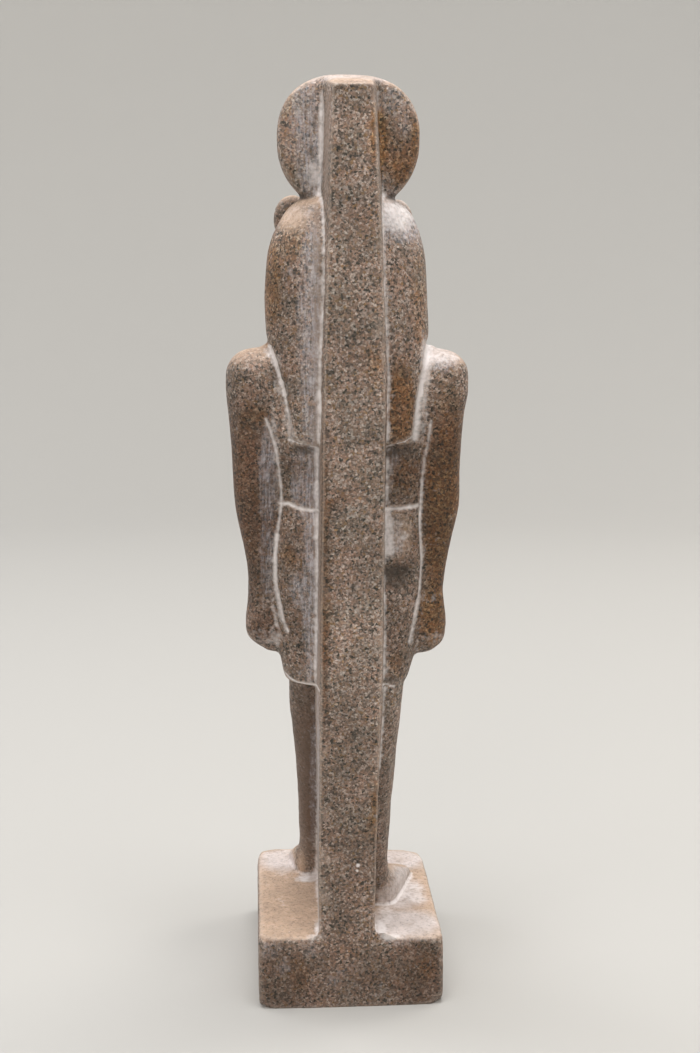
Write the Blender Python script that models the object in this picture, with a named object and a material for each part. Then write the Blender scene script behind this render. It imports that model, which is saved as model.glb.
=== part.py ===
"""A lion-headed goddess with a sun disk, carved in one block of granite with her back pillar and plinth.

Metres, +Z up. She faces -Y, her own left is +X, and the origin is under the middle of the block. The
figure is set out in parts, of which there are 368 from her soles to the top of the disk. A place in parts
is (side, depth, height): towards her left, forward from the block's flat back, and up from her soles.
"""

import math

import bmesh
import bpy
import numpy as np
from mathutils import Euler, Matrix, Vector

for old in list(bpy.data.objects):
    bpy.data.objects.remove(old, do_unlink=True)

# Sizes of the block
FIGURE_HEIGHT = 0.368
PLINTH_HEIGHT = 0.032
PLINTH_WIDTH = 0.0820
TOE_MARGIN = 0.0047
PLINTH_SKEW = 0.0015
PLINTH_TILT = 0.0018
PLINTH_SHIFT = -0.0003
PLINTH_ROUND = 0.0024
PILLAR_FOOT_WIDTH = 0.0246
PILLAR_WIDTH = 0.0262
PILLAR_TOP_WIDTH = 0.0164
PILLAR_FOOT_DEPTH = 0.014
PILLAR_TOP_DEPTH = 0.025
PILLAR_SPLAY = 0.0019
PILLAR_TOP_SPLAY = 0.0028
PILLAR_LEAN = 0.0032

PARTS = 368
PART = FIGURE_HEIGHT / PARTS
STRIDE = 93.6
PLINTH_LENGTH = STRIDE * PART + TOE_MARGIN
BACK = (PLINTH_LENGTH + PLINTH_SKEW) / 2

# Fineness of the carving
SIDES = 40
SPACING = 3.0
GRAIN = 0.0009
SMOOTHING = 4
FIGURE_TRIANGLES = 9400


def place(side, depth, height):
    """A point in parts as a point in metres."""
    return Vector((side * PART, BACK - depth * PART, PLINTH_HEIGHT + height * PART))


def smooth_stations(stations):
    """Stations every few parts, on smooth curves through the given ones that never swing past them."""
    table = np.array(stations, float)
    along = table[:, 0]
    steps = np.diff(along)
    secants = np.diff(table, axis=0) / steps[:, None]
    slopes = np.zeros_like(table)
    slopes[0], slopes[-1] = secants[0], secants[-1]
    before, after = secants[:-1], secants[1:]
    agree = before * after > 0
    total = np.where(agree, before + after, 1.0)
    slopes[1:-1] = np.where(agree, 2 * before * after / total, 0.0)
    rows = [table[0]]
    for i, step in enumerate(steps):
        count = max(1, math.ceil(abs(step) / SPACING))
        for t in np.linspace(0, 1, count + 1)[1:]:
            here = (2 * t**3 - 3 * t**2 + 1) * table[i] + (3 * t**2 - 2 * t**3) * table[i + 1]
            lean = (t**3 - 2 * t**2 + t) * slopes[i] + (t**3 - t**2) * slopes[i + 1]
            rows.append(here + lean * step)
    return rows


def with_domes(rows, low, high):
    """The rows with a round end of the given height, in parts, added below the first and past the last."""
    sign = 1 if rows[-1][0] > rows[0][0] else -1
    done = list(rows)
    for end, height, way in ((rows[0], low, -sign), (rows[-1], high, sign)):
        dome = []
        for step in range(1, 7 if height else 0):
            turn = step / 6 * math.pi / 2
            row = end.copy()
            row[0] += way * height * math.sin(turn)
            row[3:5] *= max(math.cos(turn), 0.03)
            dome.append(row)
        done = dome[::-1] + done if end is rows[0] else done + dome
    return done


def rounded_section(half_across, half_along, squareness):
    """Offsets round one section, an oval at squareness 2 and a rounded box above it."""
    power = 2 / squareness
    for i in range(SIDES):
        turn = 2 * math.pi * i / SIDES
        across, along = math.cos(turn), math.sin(turn)
        yield (
            half_across * math.copysign(abs(across) ** power, across),
            half_along * math.copysign(abs(along) ** power, along),
        )


def skin(work, rings):
    """Faces between neighbouring rings and over both ends."""
    made = [[work.verts.new(corner) for corner in ring] for ring in rings]
    count = len(made[0])
    faces = [work.faces.new(made[0]), work.faces.new(made[-1][::-1])]
    for near, far in zip(made, made[1:]):
        for i in range(count):
            j = (i + 1) % count
            faces.append(work.faces.new((near[i], far[i], far[j], near[j])))
    bmesh.ops.recalc_face_normals(work, faces=faces)


def upright(work, stations, low=0.0, high=0.0):
    """A standing form from (height, side, depth, half width, half depth, squareness)."""
    rings = []
    for height, side, depth, half_width, half_depth, squareness in with_domes(
        smooth_stations(stations), low, high
    ):
        section = rounded_section(half_width, half_depth, squareness)
        rings.append([place(side + u, depth + v, height) for u, v in section])
    skin(work, rings)


def forward(work, stations, low=0.0, high=0.0):
    """A form lying towards the front, from (depth, side, height, half width, half height, squareness)."""
    rings = []
    for depth, side, height, half_width, half_height, squareness in with_domes(
        smooth_stations(stations), low, high
    ):
        section = rounded_section(half_width, half_height, squareness)
        rings.append([place(side + u, depth, height + v) for u, v in section])
    skin(work, rings)


def ball(work, centre, radii, tilt=(0.0, 0.0, 0.0)):
    """A rounded boss. Its radii are to the side, forward and up, and its tilt is in degrees."""
    turn = Euler([math.radians(angle) for angle in tilt]).to_matrix().to_4x4()
    size = Matrix.Diagonal([radius * PART for radius in radii] + [1.0])
    where = Matrix.Translation(place(*centre)) @ turn @ size
    bmesh.ops.create_icosphere(work, subdivisions=3, radius=1.0, matrix=where)


def mirrored(stations, hand):
    """Stations of a form on her left (1) or right (-1)."""
    return [(row[0], row[1] * hand, *row[2:]) for row in stations]


def sun_disk(work):
    """The disk, a little square at the top, with worn edges."""
    side, centre, half_width = -0.5, 341.0, 29.6
    back, front, worn = 22.0, 36.0, 3.6
    up, down = (27.0, 2.45), (28.8, 2.05)
    rings = []
    for step in np.linspace(-1, 1, 11):
        depth = (back + front) / 2 + (front - back) / 2 * math.copysign(abs(step) ** 0.8, step)
        inset = worn * (1 - math.sqrt(max(0.0, 1 - abs(step) ** 5)))
        ring = []
        for i in range(2 * SIDES):
            turn = math.pi * i / SIDES
            across, along = math.cos(turn), math.sin(turn)
            reach, squareness = up if along > 0 else down
            width = (half_width - inset) * math.copysign(abs(across) ** (2 / squareness), across)
            height = (reach - inset) * math.copysign(abs(along) ** (2 / squareness), along)
            ring.append(place(side + width, depth, centre + height))
        rings.append(ring)
    skin(work, rings)


def wig(work):
    """The long wig: one mass behind the head and shoulders, and two lappets on the chest."""
    upright(
        work,
        [
            (217, -1.4, 17.6, 25.8, 10.2, 5.0),
            (230, -1.3, 17.8, 27.0, 11.2, 4.6),
            (239, -1.2, 18.4, 28.3, 12.0, 4.0),
            (250, -0.7, 20.0, 30.7, 13.4, 3.2),
            (261, -0.1, 22.8, 33.8, 16.2, 2.4),
            (267, 0.2, 24.2, 34.4, 17.6, 2.3),
            (276, 0.5, 25.3, 34.4, 18.8, 2.3),
            (287, 0.6, 25.6, 33.7, 19.2, 2.3),
            (295, 0.5, 26.0, 33.1, 18.8, 2.3),
            (303, 0.3, 26.6, 31.1, 17.8, 2.2),
            (307, 0.1, 27.0, 29.4, 17.0, 2.2),
            (311, -0.2, 27.6, 27.5, 15.8, 2.1),
            (315.5, 0.0, 28.2, 23.4, 13.8, 2.1),
            (319, 0.0, 28.6, 17.0, 10.6, 2.0),
        ],
        high=2.0,
    )
    for hand in (1, -1):
        lappet = [
            (207, 15.5, 42.5, 7.4, 4.6, 3.0),
            (217, 15.8, 43.0, 7.6, 5.0, 3.0),
            (232, 16.8, 43.6, 8.2, 5.6, 2.8),
            (248, 18.2, 42.0, 8.8, 6.6, 2.6),
            (262, 19.6, 37.4, 8.8, 8.0, 2.4),
            (276, 20.4, 32.6, 8.0, 8.4, 2.2),
            (290, 20.6, 27.0, 7.0, 7.0, 2.2),
        ]
        upright(work, mirrored(lappet, hand))


def ruff(work):
    """The mane that frames the face, a flat ring standing out from the front edge of the wig."""
    centre, radii = place(0.0, 43.0, 287.0), (22.6, 23.4)
    band, thickness = 4.6, 4.2
    rings = []
    for i in range(2 * SIDES):
        turn = math.pi * i / SIDES
        out = Vector((math.cos(turn), 0.0, math.sin(turn)))
        middle = centre + Vector((out.x * radii[0], 0.0, out.z * radii[1])) * PART
        ring = []
        for u, v in rounded_section(band, thickness, 2.4):
            ring.append(middle + out * u * PART - Vector((0.0, v * PART, 0.0)))
        rings.append([work.verts.new(corner) for corner in ring])
    faces = []
    for near, far in zip(rings, rings[1:] + rings[:1]):
        for i in range(SIDES):
            j = (i + 1) % SIDES
            faces.append(work.faces.new((near[i], far[i], far[j], near[j])))
    bmesh.ops.recalc_face_normals(work, faces=faces)


def lion_head(work):
    """Skull, muzzle, cheeks, eyes, ears and the small cobra on the brow."""
    upright(
        work,
        [
            (265, 0.0, 38.0, 13.0, 9.4, 2.3),
            (274, 0.0, 37.0, 18.4, 13.6, 2.4),
            (287, 0.0, 36.0, 21.2, 14.6, 2.5),
            (296, 0.0, 35.2, 20.8, 14.0, 2.5),
            (304, 0.0, 34.4, 19.0, 13.2, 2.4),
            (311, 0.0, 33.0, 15.5, 12.4, 2.2),
            (317, 0.0, 31.0, 11.0, 10.5, 2.0),
        ],
        low=3.0,
        high=3.0,
    )
    muzzle = [
        (42.0, 0.0, 281.0, 12.4, 10.6, 2.3),
        (50.0, 0.0, 281.0, 10.8, 9.6, 2.3),
        (56.5, 0.0, 281.4, 9.4, 8.2, 2.3),
        (60.0, 0.0, 281.8, 7.8, 6.6, 2.3),
    ]
    forward(work, muzzle, high=3.0)
    bridge = [
        (42.0, 0.0, 301.0, 6.4, 4.4, 2.2),
        (50.0, 0.0, 295.4, 4.9, 4.4, 2.4),
        (60.0, 0.0, 288.0, 4.0, 3.4, 2.6),
    ]
    forward(work, bridge, high=1.6)
    ball(work, (0.0, 61.8, 287.2), (4.7, 2.6, 2.9))
    ball(work, (0.0, 54.6, 272.8), (7.0, 6.8, 4.4))
    for hand in (1, -1):
        ball(work, (4.9 * hand, 57.4, 280.6), (5.6, 6.4, 5.0))
        ball(work, (12.6 * hand, 39.6, 281.4), (10.0, 9.8, 13.0))
        ball(work, (9.4 * hand, 44.6, 302.0), (7.6, 4.4, 2.4), (0.0, 3.0 * hand, 0.0))
        ball(work, (9.4 * hand, 46.2, 295.8), (5.0, 3.6, 3.0), (0.0, 3.0 * hand, 0.0))
    ball(work, (22.2, 43.0, 309.8), (8.6, 4.6, 10.5))
    ball(work, (-22.0, 43.0, 309.2), (7.6, 4.6, 9.4))
    cobra = [
        (301, 0.0, 45.0, 2.6, 3.2, 2.0),
        (309, 0.0, 44.6, 3.6, 4.0, 2.2),
        (317, 0.0, 41.6, 5.0, 5.2, 2.3),
        (324, 0.0, 38.6, 4.8, 5.0, 2.3),
        (329, 0.0, 37.6, 3.0, 4.4, 2.1),
        (332, 0.0, 38.0, 2.8, 5.2, 2.1),
    ]
    upright(work, cobra, high=1.8)


def torso(work):
    """Shoulders, chest, slight breasts and waist."""
    upright(
        work,
        [
            (170, -0.4, 26.5, 30.2, 15.0, 3.0),
            (188, -0.8, 26.0, 30.4, 14.8, 3.0),
            (203, -1.6, 26.5, 30.4, 14.3, 3.2),
            (217, -1.3, 27.0, 33.4, 15.0, 3.4),
            (228, -0.8, 27.4, 38.0, 15.2, 3.6),
            (238, -0.2, 27.0, 42.0, 14.8, 3.0),
            (246, 0.0, 26.6, 43.0, 13.4, 2.5),
            (252, 0.0, 26.4, 40.6, 12.0, 2.2),
            (257.6, 0.0, 26.2, 36.2, 9.6, 2.0),
        ],
        high=2.4,
    )
    for hand in (1, -1):
        ball(work, (13.5 * hand - 0.8, 39.6, 229.0), (9.5, 6.4, 9.0))


def arm(work, hand):
    """An arm hanging against the body, its fist round the end of a short rod."""
    if hand > 0:
        swell, corner, slim, lift, crown = 0.5, 0.0, 0.0, 0.8, 11.8
    else:
        swell, corner, slim, lift, crown = -0.2, 2.4, 0.8, -1.1, 11.0
    upright(
        work,
        mirrored(
            [
                (124.6 + lift, 31.6, 33.0, 5.4 + corner, 6.4, 2.6),
                (127.4 + lift, 33.8, 32.8, 8.0 + corner / 3, 9.0, 2.8),
                (130.6, 34.8, 32.4, 8.9, 10.2, 2.8),
                (134, 35.2 + swell, 32.0, 8.9, 10.6, 2.8),
                (139, 35.4 + swell, 31.6, 8.5, 10.4, 2.8),
                (145, 35.7 + swell, 31.0, 7.4, 9.0, 2.6),
                (151, 35.9 + swell, 30.6, 6.6, 8.2, 2.4),
                (158, 36.2, 30.2, 6.8, 8.4, 2.3),
                (167, 36.9, 29.6, 7.3, 9.2, 2.3),
                (176, 37.8, 29.0, 8.2, 10.2, 2.4),
                (190, 39.1, 28.0, 9.5, 11.6, 2.5),
                (204, 39.4, 27.2, 9.7 - slim, 12.2, 2.5),
                (219, 39.6, 26.6, 10.1 - slim, 12.6, 2.5),
                (230, 39.7, 26.2, 10.9 - slim, 13.0, 2.4),
                (237, 39.4, 26.0, 12.1, 13.2, 2.4),
                (245, 38.8, 26.0, 12.8, 12.8, 2.3),
            ],
            hand,
        ),
        low=2.4,
        high=crown,
    )
    stone_between = [
        (126, 30.0, 33.0, 8.0, 8.0, 6.0),
        (150, 31.5, 32.6, 8.0, 8.0, 6.0),
        (176, 33.0, 29.6, 8.0, 9.0, 6.0),
        (204, 34.0, 27.0, 8.0, 9.4, 6.0),
        (229, 36.0, 26.0, 8.0, 10.4, 6.0),
    ]
    upright(work, mirrored(stone_between, hand))
    rod = [
        (32.0, 35.2, 136.0, 3.3, 3.3, 2.0),
        (43.6, 35.0, 135.4, 3.3, 3.3, 2.0),
    ]
    forward(work, mirrored(rod, hand), high=0.8)
    thumb = [
        (128.0, 34.6, 41.4, 3.0, 3.0, 2.2),
        (134.0, 36.6, 41.0, 3.0, 2.8, 2.2),
        (143.0, 37.6, 38.0, 2.8, 2.8, 2.2),
        (150.0, 37.2, 35.0, 2.6, 2.6, 2.2),
    ]
    upright(work, mirrored(thumb, hand), low=2.0, high=2.0)


def kilt(work):
    """The kilt, tight from the waist line to the knees, with the end that hangs in front."""
    upright(
        work,
        [
            (112, 0.3, 34.0, 27.4, 22.8, 3.2),
            (115, 0.2, 33.2, 28.2, 22.0, 3.0),
            (118, 0.0, 32.6, 28.8, 21.4, 2.8),
            (134, -0.2, 30.2, 31.0, 19.8, 2.8),
            (150, -0.3, 28.4, 32.4, 18.8, 2.8),
            (165, -0.3, 27.0, 32.8, 17.6, 2.9),
            (180, -0.4, 26.4, 31.4, 16.0, 3.0),
            (188, -0.8, 26.1, 30.8, 15.2, 3.0),
        ],
    )
    hanging_end = [
        (112, 0.6, 54.4, 7.8, 4.0, 5.0),
        (118, 0.5, 51.4, 7.4, 4.0, 5.0),
        (134, 0.2, 47.4, 6.8, 4.0, 5.0),
        (160, 0.0, 42.8, 5.8, 3.8, 5.0),
        (182, -0.2, 39.8, 5.2, 3.6, 5.0),
    ]
    upright(work, hanging_end)


def leg(work, stations, foot, toe_line):
    """A leg, its bare foot and five toes between two ends of the toe line."""
    upright(work, stations)
    forward(work, foot, low=2.2, high=1.0)
    inner, outer = (Vector(end) for end in toe_line)
    toes, big_toe, shrink, reach, arch = 5, 2.9, 0.28, 4.4, 1.5
    for i in range(toes):
        share = i / (toes - 1)
        radius = big_toe - shrink * i
        middle = inner.lerp(outer, share)
        depth = middle.y - reach / 2 + arch * math.sin(math.pi * share)
        ball(work, (middle.x, depth, radius * 0.8), (radius, reach, radius))


def legs(work):
    """Her left leg strides forward from a web of stone, and her right stands against the pillar."""
    leg(
        work,
        [
            (-2, 14.4, 74.0, 7.4, 8.4, 2.2),
            (8, 14.0, 73.0, 7.2, 8.4, 2.2),
            (18, 13.4, 70.2, 7.0, 8.4, 2.2),
            (28, 13.0, 66.8, 7.8, 9.4, 2.3),
            (42, 12.6, 62.0, 8.7, 10.8, 2.3),
            (62, 12.4, 55.4, 9.8, 12.0, 2.3),
            (81, 12.5, 49.4, 11.1, 12.2, 2.3),
            (98, 12.8, 44.4, 12.7, 12.2, 2.3),
            (115, 12.6, 40.0, 12.6, 12.2, 2.3),
        ],
        [
            (67.5, 14.6, 4.6, 5.6, 6.4, 2.3),
            (71.0, 14.9, 5.4, 7.4, 8.6, 2.3),
            (77.0, 15.3, 5.0, 8.0, 9.0, 2.3),
            (83.0, 16.0, 3.4, 8.7, 6.6, 2.4),
            (89.0, 16.7, 1.6, 9.2, 4.0, 2.4),
        ],
        ((9.6, 92.0, 0.0), (23.8, 89.0, 0.0)),
    )
    leg(
        work,
        [
            (-2, -14.6, 41.0, 7.2, 8.4, 2.2),
            (8, -13.8, 40.4, 7.0, 8.4, 2.2),
            (18, -12.6, 38.6, 6.8, 8.4, 2.2),
            (28, -12.0, 36.2, 7.2, 9.4, 2.3),
            (42, -11.7, 33.4, 7.9, 10.8, 2.3),
            (62, -11.6, 30.6, 9.2, 12.2, 2.3),
            (81, -11.7, 28.8, 10.7, 13.0, 2.3),
            (98, -12.3, 28.0, 11.8, 13.4, 2.3),
            (115, -13.0, 28.0, 12.4, 13.6, 2.3),
        ],
        [
            (34.6, -15.4, 4.4, 6.6, 6.0, 2.3),
            (38.0, -16.0, 5.4, 8.2, 8.4, 2.3),
            (46.0, -18.4, 5.0, 8.6, 9.0, 2.3),
            (56.0, -20.8, 3.4, 9.2, 6.8, 2.4),
            (65.0, -22.8, 1.8, 9.8, 4.2, 2.4),
            (69.0, -23.4, 1.4, 9.6, 3.4, 2.4),
        ],
        ((-16.6, 73.0, 0.0), (-31.0, 68.6, 0.0)),
    )
    web = [
        (-2, 1.6, 40.0, 10.0, 31.0, 8.0),
        (40, 1.6, 37.0, 10.0, 28.0, 8.0),
        (112, 0.4, 28.0, 11.4, 19.0, 8.0),
    ]
    upright(work, web)


def carved_figure():
    """Every form of the figure, merged into one skin and brought down to few triangles."""
    work = bmesh.new()
    for form in (sun_disk, wig, ruff, lion_head, torso, kilt, legs):
        form(work)
    for hand in (1, -1):
        arm(work, hand)
    mesh = bpy.data.meshes.new("sekhmet_statue")
    work.to_mesh(mesh)
    work.free()
    figure = bpy.data.objects.new("sekhmet_statue", mesh)
    bpy.context.scene.collection.objects.link(figure)
    merge = figure.modifiers.new("One skin", "REMESH")
    merge.mode = "VOXEL"
    merge.voxel_size = GRAIN
    soften = figure.modifiers.new("Worn", "SMOOTH")
    soften.factor = 0.5
    soften.iterations = SMOOTHING
    bpy.context.view_layer.update()
    fine = figure.evaluated_get(bpy.context.evaluated_depsgraph_get()).to_mesh()
    triangles = sum(len(face.vertices) - 2 for face in fine.polygons)
    thin = figure.modifiers.new("Few faces", "DECIMATE")
    thin.ratio = FIGURE_TRIANGLES / triangles
    thin.use_collapse_triangulate = True
    return figure


def pillar():
    """The back pillar: its back lies in the plinth's back, and it narrows from the shoulders to the disk."""
    ankle, knee, shoulder, brow, top = 40, 100, 243, 305, 362
    weathering = 5.5
    share = (brow - shoulder) / (top - shoulder)
    brow_width = PILLAR_WIDTH + (PILLAR_TOP_WIDTH - PILLAR_WIDTH) * share
    lean = PILLAR_LEAN / 2
    levels = [
        (-0.6 * PLINTH_HEIGHT / PART, PILLAR_FOOT_WIDTH, 0.0, lean),
        (ankle, PILLAR_FOOT_WIDTH, 0.0, lean),
        (knee, PILLAR_WIDTH, PILLAR_SPLAY, 0.0),
        (shoulder, PILLAR_WIDTH, PILLAR_SPLAY, -lean),
        (brow, brow_width, PILLAR_TOP_SPLAY, -lean),
        (top, PILLAR_TOP_WIDTH, PILLAR_TOP_SPLAY, -lean / 2),
    ]
    rings = []
    for level, width, splay, side in levels:
        height = PLINTH_HEIGHT + level * PART
        share = max(0.0, level / top)
        depth = PILLAR_FOOT_DEPTH + (PILLAR_TOP_DEPTH - PILLAR_FOOT_DEPTH) * share
        front_height = height + (weathering * PART if level == top else 0.0)
        rings.append(
            [
                (side + width / 2, BACK, height),
                (side - width / 2, BACK, height),
                (side - width / 2 - splay, BACK - depth, front_height),
                (side + width / 2 + splay, BACK - depth, front_height),
            ]
        )
    work = bmesh.new()
    skin(work, rings)
    return work


def plinth():
    """The plinth: square at the back, askew in front, higher on her left, and worn round but for its foot."""
    work = bmesh.new()
    half = PLINTH_WIDTH / 2
    outline = [
        (PLINTH_SHIFT + half, BACK),
        (PLINTH_SHIFT - half, BACK),
        (PLINTH_SHIFT - half, BACK - PLINTH_LENGTH + PLINTH_SKEW),
        (PLINTH_SHIFT + half, BACK - PLINTH_LENGTH - PLINTH_SKEW),
    ]
    top = [(x, y, PLINTH_HEIGHT + (PLINTH_TILT if x > 0 else 0.0)) for x, y in outline]
    skin(work, [[(x, y, 0.0) for x, y in outline], top])
    worn = [edge for edge in work.edges if max(corner.co.z for corner in edge.verts) > 0]
    bmesh.ops.bevel(work, geom=worn, offset=PLINTH_ROUND, segments=3, profile=0.5, affect="EDGES")
    return work


def add_block(figure, name, work):
    """Joins a plain block to the figure."""
    mesh = bpy.data.meshes.new(name)
    work.to_mesh(mesh)
    work.free()
    block = bpy.data.objects.new(name, mesh)
    bpy.context.scene.collection.objects.link(block)
    block.hide_render = True
    block.display_type = "WIRE"
    union = figure.modifiers.new(name, "BOOLEAN")
    union.operation = "UNION"
    union.solver = "EXACT"
    union.object = block


def granite():
    """Brown granite with a dull worn surface."""
    material = bpy.data.materials.new("granite")
    material.use_nodes = True
    shader = material.node_tree.nodes["Principled BSDF"]
    shader.inputs["Base Color"].default_value = (0.27, 0.19, 0.14, 1.0)
    shader.inputs["Roughness"].default_value = 0.72
    shader.inputs["Metallic"].default_value = 0.0
    return material


statue = carved_figure()
add_block(statue, "pillar", pillar())
add_block(statue, "plinth", plinth())
statue.data.materials.append(granite())
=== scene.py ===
import math

import bpy
import numpy as np
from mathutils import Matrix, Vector, kdtree


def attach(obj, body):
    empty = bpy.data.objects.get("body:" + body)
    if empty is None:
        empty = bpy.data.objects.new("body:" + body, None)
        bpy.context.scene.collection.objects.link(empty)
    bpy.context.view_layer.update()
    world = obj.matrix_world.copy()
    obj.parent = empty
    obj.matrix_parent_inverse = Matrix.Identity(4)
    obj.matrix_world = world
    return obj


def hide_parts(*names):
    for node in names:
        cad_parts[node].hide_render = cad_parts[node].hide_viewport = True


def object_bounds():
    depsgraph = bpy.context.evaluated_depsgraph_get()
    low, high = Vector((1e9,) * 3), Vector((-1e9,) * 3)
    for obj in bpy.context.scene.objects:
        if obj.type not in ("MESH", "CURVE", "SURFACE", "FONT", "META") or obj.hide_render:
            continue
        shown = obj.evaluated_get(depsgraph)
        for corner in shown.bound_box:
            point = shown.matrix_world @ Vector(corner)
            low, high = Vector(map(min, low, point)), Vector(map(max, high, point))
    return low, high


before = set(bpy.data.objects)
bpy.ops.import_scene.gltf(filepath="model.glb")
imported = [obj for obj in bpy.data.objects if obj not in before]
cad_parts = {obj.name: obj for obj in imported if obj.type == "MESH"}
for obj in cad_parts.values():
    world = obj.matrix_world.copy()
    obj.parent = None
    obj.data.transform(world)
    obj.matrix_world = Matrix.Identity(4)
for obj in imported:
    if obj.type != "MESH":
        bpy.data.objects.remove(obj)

cad_low, cad_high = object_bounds()

# The statue's skin. The real piece is one block of brown granite, pounded to shape with harder stones and
# rubbed down with wet sand, which leaves soft hollows and no crisp facet. It starts as a copy of the solid.
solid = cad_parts["sekhmet_statue"]
BACK = cad_high.y * 1000
SOLES = 32.0
GRIT = 0.0006
SAME_POINT = 0.00001
SHARP = math.radians(50)


def at(side, depth, height):
    """A place in metres, from millimetres towards her left, forward from the back and up from the soles."""
    return Vector((side, BACK - depth, SOLES + height)) / 1000


def work(piece, kind, **settings):
    """Gives the piece a modifier and applies it."""
    tool = piece.modifiers.new(kind.title(), kind)
    for name, value in settings.items():
        setattr(tool, name, value)
    bpy.context.view_layer.objects.active = piece
    bpy.ops.object.modifier_apply(modifier=tool.name)


bpy.ops.object.select_all(action="DESELECT")
statue = bpy.data.objects.new("granite_statue", solid.data.copy())
bpy.context.scene.collection.objects.link(statue)
statue.data.materials.clear()
statue.select_set(True)
bpy.context.view_layer.objects.active = statue
bpy.ops.object.mode_set(mode="EDIT")
bpy.ops.mesh.select_all(action="SELECT")
bpy.ops.mesh.remove_doubles(threshold=SAME_POINT)
bpy.ops.mesh.select_all(action="DESELECT")
bpy.ops.mesh.select_mode(type="EDGE")
bpy.ops.mesh.edges_select_sharp(sharpness=SHARP)
bpy.ops.transform.edge_crease(value=1.0)
bpy.ops.object.mode_set(mode="OBJECT")
work(statue, "SUBSURF", levels=1, render_levels=1)
work(statue, "REMESH", mode="VOXEL", voxel_size=GRIT)
work(statue, "SMOOTH", factor=0.5, iterations=6)


# Small forms that were left standing on the block and rounded over: eyes, nostrils, finger knuckles, knees and
# ankle bones. Each is a ball sunk in the skin, and one skin is drawn over them all.
def boss(side, depth, height, across, through, tall, lean=0.0):
    """A rounded boss of the given half sizes in millimetres, leaning sideways by an angle in degrees."""
    bpy.ops.mesh.primitive_uv_sphere_add(
        segments=32,
        ring_count=16,
        radius=0.001,
        location=at(side, depth, height),
        scale=(across, through, tall),
        rotation=(0.0, math.radians(lean), 0.0),
    )
    return bpy.context.object


EYE_SIDE, EYE_HEIGHT, EYE_LEAN = 9.4, 295.6, 4
TOP_KNUCKLE, KNUCKLE_STEP, KNUCKLE_DRIFT = 142.6, 3.6, 0.25
ANKLES = ((20.2, 73.4), (8.4, 74.0), (-19.6, 41.0), (-8.2, 41.4))
bosses = []
# On each side an eye, a nostril and the four knuckles of the fist.
for hand in (1, -1):
    bosses.append(boss(EYE_SIDE * hand, 48.6, EYE_HEIGHT, 3.6, 1.9, 1.9, EYE_LEAN * hand))
    bosses.append(boss(2.7 * hand, 61.4, 286.4, 1.7, 1.9, 1.6))
    for finger in range(4):
        height = TOP_KNUCKLE - KNUCKLE_STEP * finger
        bosses.append(boss((35.6 - KNUCKLE_DRIFT * finger) * hand, 41.4, height, 4.4, 2.4, 1.9))
# The kneecaps, and the bones on both sides of each ankle.
bosses.append(boss(12.6, 55.2, 99.0, 5.4, 3.2, 6.0))
bosses.append(boss(-13.2, 40.2, 99.0, 5.4, 3.2, 6.0))
for side, depth in ANKLES:
    bosses.append(boss(side, depth, 11.0, 1.8, 2.8, 2.8))
bpy.ops.object.select_all(action="DESELECT")
for piece in bosses:
    piece.select_set(True)
statue.select_set(True)
bpy.context.view_layer.objects.active = statue
bpy.ops.object.join()
work(statue, "REMESH", mode="VOXEL", voxel_size=GRIT)
work(statue, "SMOOTH", factor=0.5, iterations=2)

# Hand dressing. Pounding and rubbing leave the faces a little uneven, in swellings as wide as a thumb and in
# small dents, while the block keeps its size.
for name, width, height in (("swellings", 0.020, 0.0006), ("dents", 0.0045, 0.0002)):
    pattern = bpy.data.textures.new(name, "CLOUDS")
    pattern.noise_scale = width
    pattern.noise_depth = 1
    work(statue, "DISPLACE", texture=pattern, texture_coords="LOCAL", strength=height, mid_level=0.5)


# The skin as arrays, for the work below. Its corners that stand free are rubbed and knocked rounder: those of
# the plinth, and the pillar's top, which runs over into the disk without a step.
def columns(rows, name, width, kind=float):
    """One property of every point or edge, as an array with a row for each."""
    values = np.empty(len(rows) * width, kind)
    rows.foreach_get(name, values)
    return values.reshape(-1, width)


count = len(statue.data.vertices)
skin = columns(statue.data.vertices, "co", 3)
facing = columns(statue.data.vertices, "normal", 3)
edges = columns(statue.data.edges, "vertices", 2, int)
ends = np.concatenate([edges[:, 0], edges[:, 1]])
others = np.concatenate([edges[:, 1], edges[:, 0]])
neighbours = np.bincount(ends, minlength=count).astype(float)


def blurred(values, rounds):
    """Values at the points of the skin, each time brought half way to the mean of their neighbours."""
    for _ in range(rounds):
        means = [np.bincount(ends, column[others], count) / neighbours for column in values.T]
        values = (values + np.stack(means, axis=1)) / 2
    return values


# A patch is at its full strength up to half of its half sizes, and fades out at 1.3 times them.
PATCH_EDGE, PATCH_FADE = 1.3, 0.8


def patches(places):
    """How strongly each point lies in soft-edged patches, given as a place, half sizes and a strength."""
    strength = np.zeros(count)
    for side, depth, height, across, through, tall, most in places:
        away = (skin - np.array(at(side, depth, height))) * 1000 / np.array([across, through, tall])
        share = np.clip((PATCH_EDGE - np.linalg.norm(away, axis=1)) / PATCH_FADE, 0, 1)
        strength = np.maximum(strength, most * share * share * (3 - 2 * share))
    return strength


CORNER_RUBS = 80
worn_corners = patches([
    # The pillar's top.
    (-2, 17, 367, 19, 16, 7, 1.0),
    # The plinth's upper corners, behind and in front.
    (41, 0, 0, 7, 5, 5, 1.0),
    (-41, 0, -1, 4, 4, 4, 0.8),
    (41, 99, 0, 8, 8, 6, 1.0),
    (-41, 96, -1, 8, 8, 6, 1.0),
    # Its lower corners behind.
    (41, 0, -32, 6, 5, 5, 1.0),
    (-41, 0, -32, 5, 5, 4, 1.0),
])
skin += (blurred(skin, CORNER_RUBS) - skin) * worn_corners[:, None]

# Lines cut with a flint point, and hollows ground out with a pebble. A line is laid out as it is seen from the
# front, and is cut into the skin straight behind or before it. Lime has dried white in many of them.
ACROSS, INWARD, UP = 0, 1, 2
LIME_SPILL = 1.1
fresh = np.zeros(count)


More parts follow.
